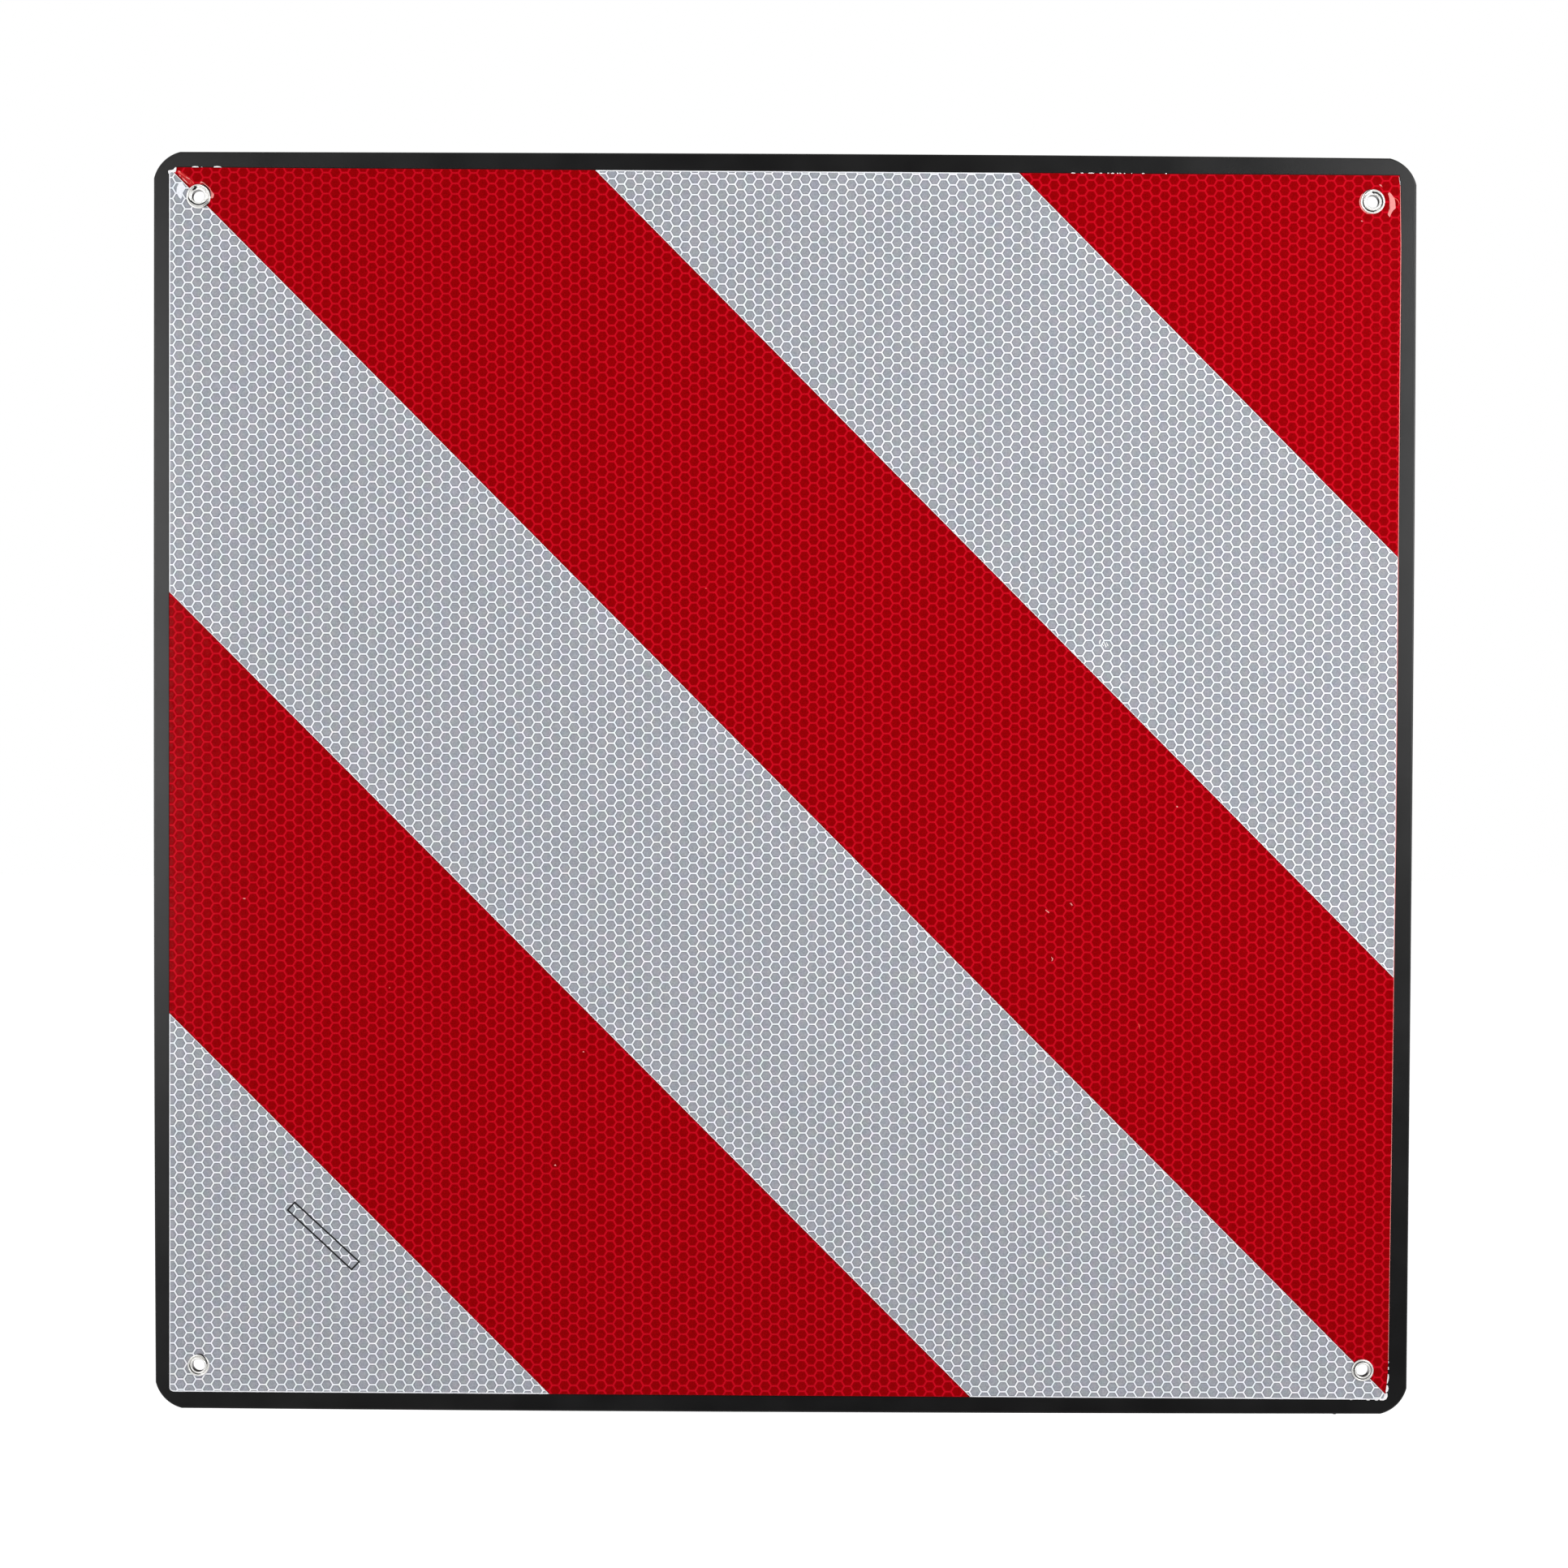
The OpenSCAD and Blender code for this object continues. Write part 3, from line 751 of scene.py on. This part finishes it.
def half_round(bm, inner, outer, base, height, steps=12):
    """Half-round line from one radius to another, as the verts from the inner end to the outer."""
    start = bm.verts.new((inner, 0, 0))
    middle = ((inner + outer) / 2, 0, 0)
    known = set(bm.verts) - {start}
    bmesh.ops.spin(bm, geom=[start], cent=middle, axis=(0, 1, 0), angle=math.pi, steps=steps)
    line = sorted((v for v in bm.verts if v not in known), key=lambda v: v.co.x)
    tall = (outer - inner) / 2
    for v in line:
        v.co.z = base + abs(v.co.z) * height / tall
    return line


def spin_round(bm, steps=96):
    bmesh.ops.spin(bm, geom=all_of(bm), cent=(0, 0, 0), axis=(0, 0, 1), angle=2 * math.pi, steps=steps,
                   use_merge=True)
    bmesh.ops.remove_doubles(bm, verts=bm.verts, dist=0.0005)
    smooth_all(bm)


def share_at(keys, degrees):
    """Share of the lip's reach at an angle, eased from one given value to the next."""
    for (before, a), (after, b) in zip(keys, keys[1:]):
        if before <= degrees <= after:
            part = (1 - math.cos(math.pi * (degrees - before) / (after - before))) / 2
            return a + (b - a) * part
    return keys[-1][1]


def roll_lip(bm, corner, seat):
    """Rolls the lip out further on some sides than on others, and keeps it short and low where it tore."""
    floor = seat + LEDGE
    for v in bm.verts:
        out = math.hypot(v.co.x, v.co.y)
        if v.co.z > floor - 0.01 and out > BARREL + 0.01:
            share = share_at(ROLLED[corner], math.degrees(math.atan2(v.co.y, v.co.x)) % 360)
            grown = BARREL + (out - BARREL) * share
            v.co.x *= grown / out
            v.co.y *= grown / out
            v.co.z = floor + (v.co.z - floor) * (0.4 + 0.6 * min(share, 1.0))


def make_eyelet(corner, seat, reach):
    bm = bmesh.new()
    lip = half_round(bm, BORE, BARREL + reach - GROOVE, seat + LEDGE, LIP_HEIGHT)
    flange = half_round(bm, BORE, BARREL + FLANGE_REACH, 0, -FLANGE_HEIGHT)
    neck = bm.verts.new((BARREL, 0, seat + LEDGE))
    foot = bm.verts.new((BARREL, 0, 0))
    for a, b in ((lip[-1], neck), (neck, foot), (foot, flange[-1]), (lip[0], flange[0])):
        bm.edges.new((a, b))
    spin_round(bm)
    for f in bm.faces:
        # Faces inside the bore take the darker nickel, painted shade in the hole
        f.material_index = int(all(math.hypot(*v.co.xy) < BORE + 0.02 for v in f.verts))
    roll_lip(bm, corner, seat)
    bmesh.ops.translate(bm, vec=(*EYELETS[corner], 0), verts=bm.verts)
    return hang(bm, f"set_eyelet_{corner}", ["eyelet", "bore"], [f"eyelet_{corner}"])


def make_washer(corner, seat, reach):
    bm = bmesh.new()
    start = BARREL + reach + LIP_GAP + RING_INSET
    ring = half_round(bm, start, start + RING_WIDTH - RING_INSET, 0, RING_HEIGHT)
    for v in ring:
        if v.co.x < start + RING_WIDTH / 2:
            v.co.z = max(v.co.z, LEDGE - LEDGE_DROP)
    ledge = bm.verts.new((HOLE, 0, LEDGE - LEDGE_DROP))
    foot = bm.verts.new((HOLE, 0, 0))
    for a, b in ((ring[0], ledge), (ledge, foot), (foot, ring[-1])):
        bm.edges.new((a, b))
    spin_round(bm)
    bmesh.ops.translate(bm, vec=(*EYELETS[corner], seat), verts=bm.verts)
    return hang(bm, f"set_washer_{corner}", ["washer"], [f"washer_{corner}"])


def make_fixings():
    for corner in EYELETS:
        seat = WHITE_TOP if corner == "bottom_left" else RED_TOP
        reach = UPPER_LIP if corner.startswith("top") else LOWER_LIP
        make_eyelet(corner, seat, reach)
        make_washer(corner, seat, reach)


# ---- Wear, damage, painted highlights and painted shade


def streak(bm, points, base, rise=0.04):
    """A thin line laid on a surface, through points that each carry its width."""
    line = [bm.verts.new((x, y, base)) for x, y, _ in points]
    edges = [bm.edges.new(pair) for pair in zip(line, line[1:])]
    twins = set(verts_of(bmesh.ops.extrude_edge_only(bm, edges=edges)["geom"]))
    known = list(line)
    for i, v in enumerate(known):
        twin = next(e.other_vert(v) for e in v.link_edges if e.other_vert(v) in twins)
        before, after = points[max(i - 1, 0)], points[min(i + 1, len(points) - 1)]
        way = Vector((after[0] - before[0], after[1] - before[1], 0)).normalized()
        side = Vector((-way.y, way.x, 0)) * max(points[i][2], 0.01) / 2
        v.co -= side
        twin.co += side
    flat = list(dict.fromkeys(f for v in known for f in v.link_faces))
    raised = bmesh.ops.extrude_face_region(bm, geom=flat)["geom"]
    bmesh.ops.translate(bm, vec=(0, 0, rise), verts=verts_of(raised))


def patch(bm, outline, base, rise=0.04, soft=0.08):
    """A thin scrap with soft corners and a slightly crowned face."""
    corners = [bm.verts.new((x, y, base)) for x, y in outline]
    bm.faces.new(corners)
    made = bmesh.ops.bevel(bm, geom=corners, offset=soft, segments=2, profile=0.5, affect="VERTICES", material=-1)
    face = max((f for v in made["verts"] for f in v.link_faces), key=lambda f: len(f.verts))
    if face.normal.z < 0:
        face.normal_flip()
    raised = bmesh.ops.extrude_face_region(bm, geom=[face])["geom"]
    bmesh.ops.translate(bm, vec=(0, 0, rise / 2), verts=verts_of(raised))
    top = faces_of(raised)
    bmesh.ops.inset_region(bm, faces=top, thickness=soft, depth=rise / 2, use_even_offset=True)


def round_line(corner, keys, step=6):
    """Points round an eyelet, between given places of (degrees, distance, width)."""
    x, y = EYELETS[corner]
    places = []
    for (a0, r0, w0), (a1, r1, w1) in zip(keys, keys[1:]):
        count = max(1, round(abs(a1 - a0) / step))
        places += [(a0 + (a1 - a0) * i / count, r0 + (r1 - r0) * i / count, w0 + (w1 - w0) * i / count)
                   for i in range(count)]
    places.append(keys[-1])
    return [(x + r * math.cos(math.radians(a)), y + r * math.sin(math.radians(a)), w) for a, r, w in places]


def make_wear():
    # Pink marks: lifted film and the film's edge, with painted highlights on creases and specks; bright red lines and
    # white specks: painted highlights
    for name, look, slot, outlines, lines in (
        ("lifted_film_and_highlights", "pink", "red_film", PINK_PATCHES, PINK_LINES + (RIGHT_EDGE_LINE,)),
        ("painted_film_highlights", "bright", "red_film", (), BRIGHT_LINES),
        ("blistered_film", "blister", "red_film", BLISTERS, ()),
        ("lifted_sheeting", "bare", "white_sheeting", BARE_PATCHES, ()),
        ("sheeting_speck_highlights", "chip", "white_sheeting", (), WHITE_SPECKS),
    ):
        bm = bmesh.new()
        top = WHITE_TOP if slot == "white_sheeting" else RED_TOP
        low = top - RELIEF if look == "blister" else top - RELIEF + FLAKED
        for outline in outlines:
            patch(bm, outline, low, top - low + (0.02 if look == "blister" else SCRAP))
        for line in lines:
            streak(bm, line, top - RELIEF, RELIEF + (CRUMPLED if look in ("pink", "bright") else FLAKED))
        if look == "pink":
            streak(bm, round_line("top_right", FILM_RING), top - RELIEF, RELIEF + SCRAP)
        hang(bm, name, [look])


def make_torn_edges():
    bm = bmesh.new()
    for outline in TORN_EDGES:
        patch(bm, outline, TORN_BASE, TORN_RISE, 0.1)
    (x0, y0), (x1, y1) = SHEET_CORNERS[:2]
    for start, end in TOP_FLECKS:
        y = y0 + (y1 - y0) * (start - x0) / (x1 - x0) + 0.08
        fleck = ((start, y, 0.25), ((start + end) / 2, y + 0.03, 0.36), (end, y - 0.03, 0.2))
        streak(bm, fleck, TORN_BASE, TORN_RISE)
    return hang(bm, "torn_edges", ["chip"])


def make_eyelet_painted_shade():
    # Streaks painted near-black: painted shade in the grooves and the lip's torn gap, painted shadow beside the
    # washers, painted dark reflections across the rings
    bm = bmesh.new()
    for corner in EYELETS:
        seat = WHITE_TOP if corner == "bottom_left" else RED_TOP
        for keys in GROOVE_PAINTED_SHADE[corner]:
            streak(bm, round_line(corner, keys), seat + LEDGE - LEDGE_DROP - 0.01, 0.05)
        for keys in WASHER_PAINTED_SHADOW[corner]:
            streak(bm, round_line(corner, keys), seat - RELIEF, RELIEF + FLAKED)
        for keys in RING_PAINTED_SHADE_AND_REFLECTION.get(corner, ()):
            streak(bm, round_line(corner, keys), seat - RELIEF, RELIEF + RING_HEIGHT + FLAKED)
    x, y = EYELETS["top_left"]
    patch(bm, [(x + a, y + b) for a, b in LIP_GAP_SHADE], RED_TOP + 0.2, RING_HEIGHT - 0.1, 0.04)
    return hang(bm, "eyelet_painted_shade", ["painted_eyelet_shade"])


def make_burr():
    """Drip of plastic left on the board's lower edge."""
    bm = bmesh.new()
    patch(bm, BURR, 0.7, 1.3, 0.1)
    return hang(bm, "board_burr", ["board"])


# ---- Studio, in metres and degrees


CAMERA_TARGET = (0.00036, -0.0025, 0.00078)
CAMERA_DISTANCE = 1.3
CAMERA_TURNS = (-0.008, 1.417, 0.252)
LENS = 75.172
# The room is dark in front of the sign, bright all round it and dim behind
ROOM_BRIGHT = 0.85
ROOM_DARK = 0.052
ROOM_BEHIND = 0.08
DARK_WITHIN = (56.2, 23.4)
DIM_WITHIN = (110.0, 145.0)
FLOOR = -0.45
FLOOR_LIFT = 0.5
# Place, aim, width, height and radiance of each softbox
SOFTBOXES = {
    "softbox_left": ((-0.638, -0.853, 0.08), (-0.2, 0, 0.08), 0.42, 0.505, 5.75),
    "softbox_right": ((0.639, -0.618, 0.223), (0.2, 0, 0.1), 0.447, 0.51, 6.0),
}


def camera():
    target = Vector(CAMERA_TARGET)
    around, above, roll = (math.radians(turn) for turn in CAMERA_TURNS)
    ahead = Vector((math.sin(around) * math.cos(above), math.cos(around) * math.cos(above), -math.sin(above)))
    right = Vector((math.cos(around), -math.sin(around), 0))
    up = right.cross(ahead)
    rolled = right * math.cos(roll) + up * math.sin(roll)
    risen = up * math.cos(roll) - right * math.sin(roll)
    data = bpy.data.cameras.new("camera")
    data.lens = LENS
    data.sensor_width = 36
    piece = bpy.data.objects.new("camera", data)
    turned = Matrix((rolled, risen, -ahead)).transposed().to_4x4()
    piece.matrix_world = Matrix.Translation(target - ahead * CAMERA_DISTANCE) @ turned
    bpy.context.scene.collection.objects.link(piece)
    bpy.context.scene.camera = piece


def softbox(name, place, aim, width, height, radiance):
    data = bpy.data.lights.new(name, "AREA")
    data.shape = "RECTANGLE"
    data.size, data.size_y = width, height
    data.energy = radiance * math.pi * width * height
    lamp = bpy.data.objects.new(name, data)
    way = Vector(aim) - Vector(place)
    lamp.rotation_euler = way.to_track_quat("-Z", "Y").to_euler()
    lamp.location = place
    lamp.visible_camera = False
    bpy.context.scene.collection.objects.link(lamp)


def studio_world():
    world = bpy.data.worlds.new("studio")
    bpy.context.scene.world = world
    world.use_nodes = True
    nodes, links = world.node_tree.nodes, world.node_tree.links
    nodes.clear()
    out = nodes.new("ShaderNodeOutputWorld")
    path = nodes.new("ShaderNodeLightPath")
    white = nodes.new("ShaderNodeBackground")
    white.inputs["Color"].default_value = (1, 1, 1, 1)
    room = nodes.new("ShaderNodeBackground")
    room.inputs["Color"].default_value = (1, 0.995, 0.985, 1)
    where = nodes.new("ShaderNodeTexCoord")
    facing = nodes.new("ShaderNodeVectorMath")
    facing.operation = "DOT_PRODUCT"
    facing.inputs[1].default_value = (0, -1, 0)
    links.new(where.outputs["Generated"], facing.inputs[0])
    level = nodes.new("ShaderNodeMath")
    level.operation = "MULTIPLY"
    for place, (angles, outside, inside) in enumerate(((DARK_WITHIN, ROOM_BRIGHT, ROOM_DARK),
                                                       (DIM_WITHIN, 1.0, ROOM_BEHIND))):
        ramp = nodes.new("ShaderNodeMapRange")
        ramp.interpolation_type = "SMOOTHSTEP"
        edges = [math.cos(math.radians(angle)) for angle in angles]
        for socket, value in zip(("From Min", "From Max", "To Min", "To Max"), (*edges, outside, inside)):
            ramp.inputs[socket].default_value = value
        links.new(facing.outputs["Value"], ramp.inputs["Value"])
        links.new(ramp.outputs["Result"], level.inputs[place])
    links.new(level.outputs[0], room.inputs["Strength"])
    by_camera = nodes.new("ShaderNodeMixShader")
    links.new(path.outputs["Is Camera Ray"], by_camera.inputs[0])
    links.new(room.outputs[0], by_camera.inputs[1])
    links.new(white.outputs[0], by_camera.inputs[2])
    links.new(by_camera.outputs[0], out.inputs["Surface"])


def studio_floor():
    """Pale floor below the sign, white to the camera except where the sign's shadow falls."""
    bm = bmesh.new()
    bmesh.ops.create_grid(bm, x_segments=1, y_segments=1, size=4, matrix=Matrix.Translation((0, 3.7, 0)))
    mesh = bpy.data.meshes.new("floor")
    bm.to_mesh(mesh)
    bm.free()
    floor = bpy.data.objects.new("floor", mesh)
    floor.location = (0, 0, FLOOR)
    bpy.context.scene.collection.objects.link(floor)
    mat = bpy.data.materials.new("pale_floor")
    mat.use_nodes = True
    nodes, links = mat.node_tree.nodes, mat.node_tree.links
    shader = nodes["Principled BSDF"]
    shader.inputs["Base Color"].default_value = (0.85, 0.85, 0.86, 1)
    shader.inputs["Roughness"].default_value = 0.9
    shader.inputs["Specular IOR Level"].default_value = 0.1
    path = nodes.new("ShaderNodeLightPath")
    shine = nodes.new("ShaderNodeMath")
    shine.operation = "MULTIPLY"
    shine.inputs[1].default_value = FLOOR_LIFT
    links.new(path.outputs["Is Camera Ray"], shine.inputs[0])
    shader.inputs["Emission Color"].default_value = (1, 1, 1, 1)
    links.new(shine.outputs[0], shader.inputs["Emission Strength"])
    mesh.materials.append(mat)


def make_studio():
    camera()
    studio_world()
    studio_floor()
    for name, values in SOFTBOXES.items():
        softbox(name, *values)
    bpy.context.scene.view_settings.view_transform = "Standard"


make_board()
make_backing()
make_sheeting()
make_print()
make_fixings()
make_wear()
make_torn_edges()
make_eyelet_painted_shade()
make_burr()
make_studio()
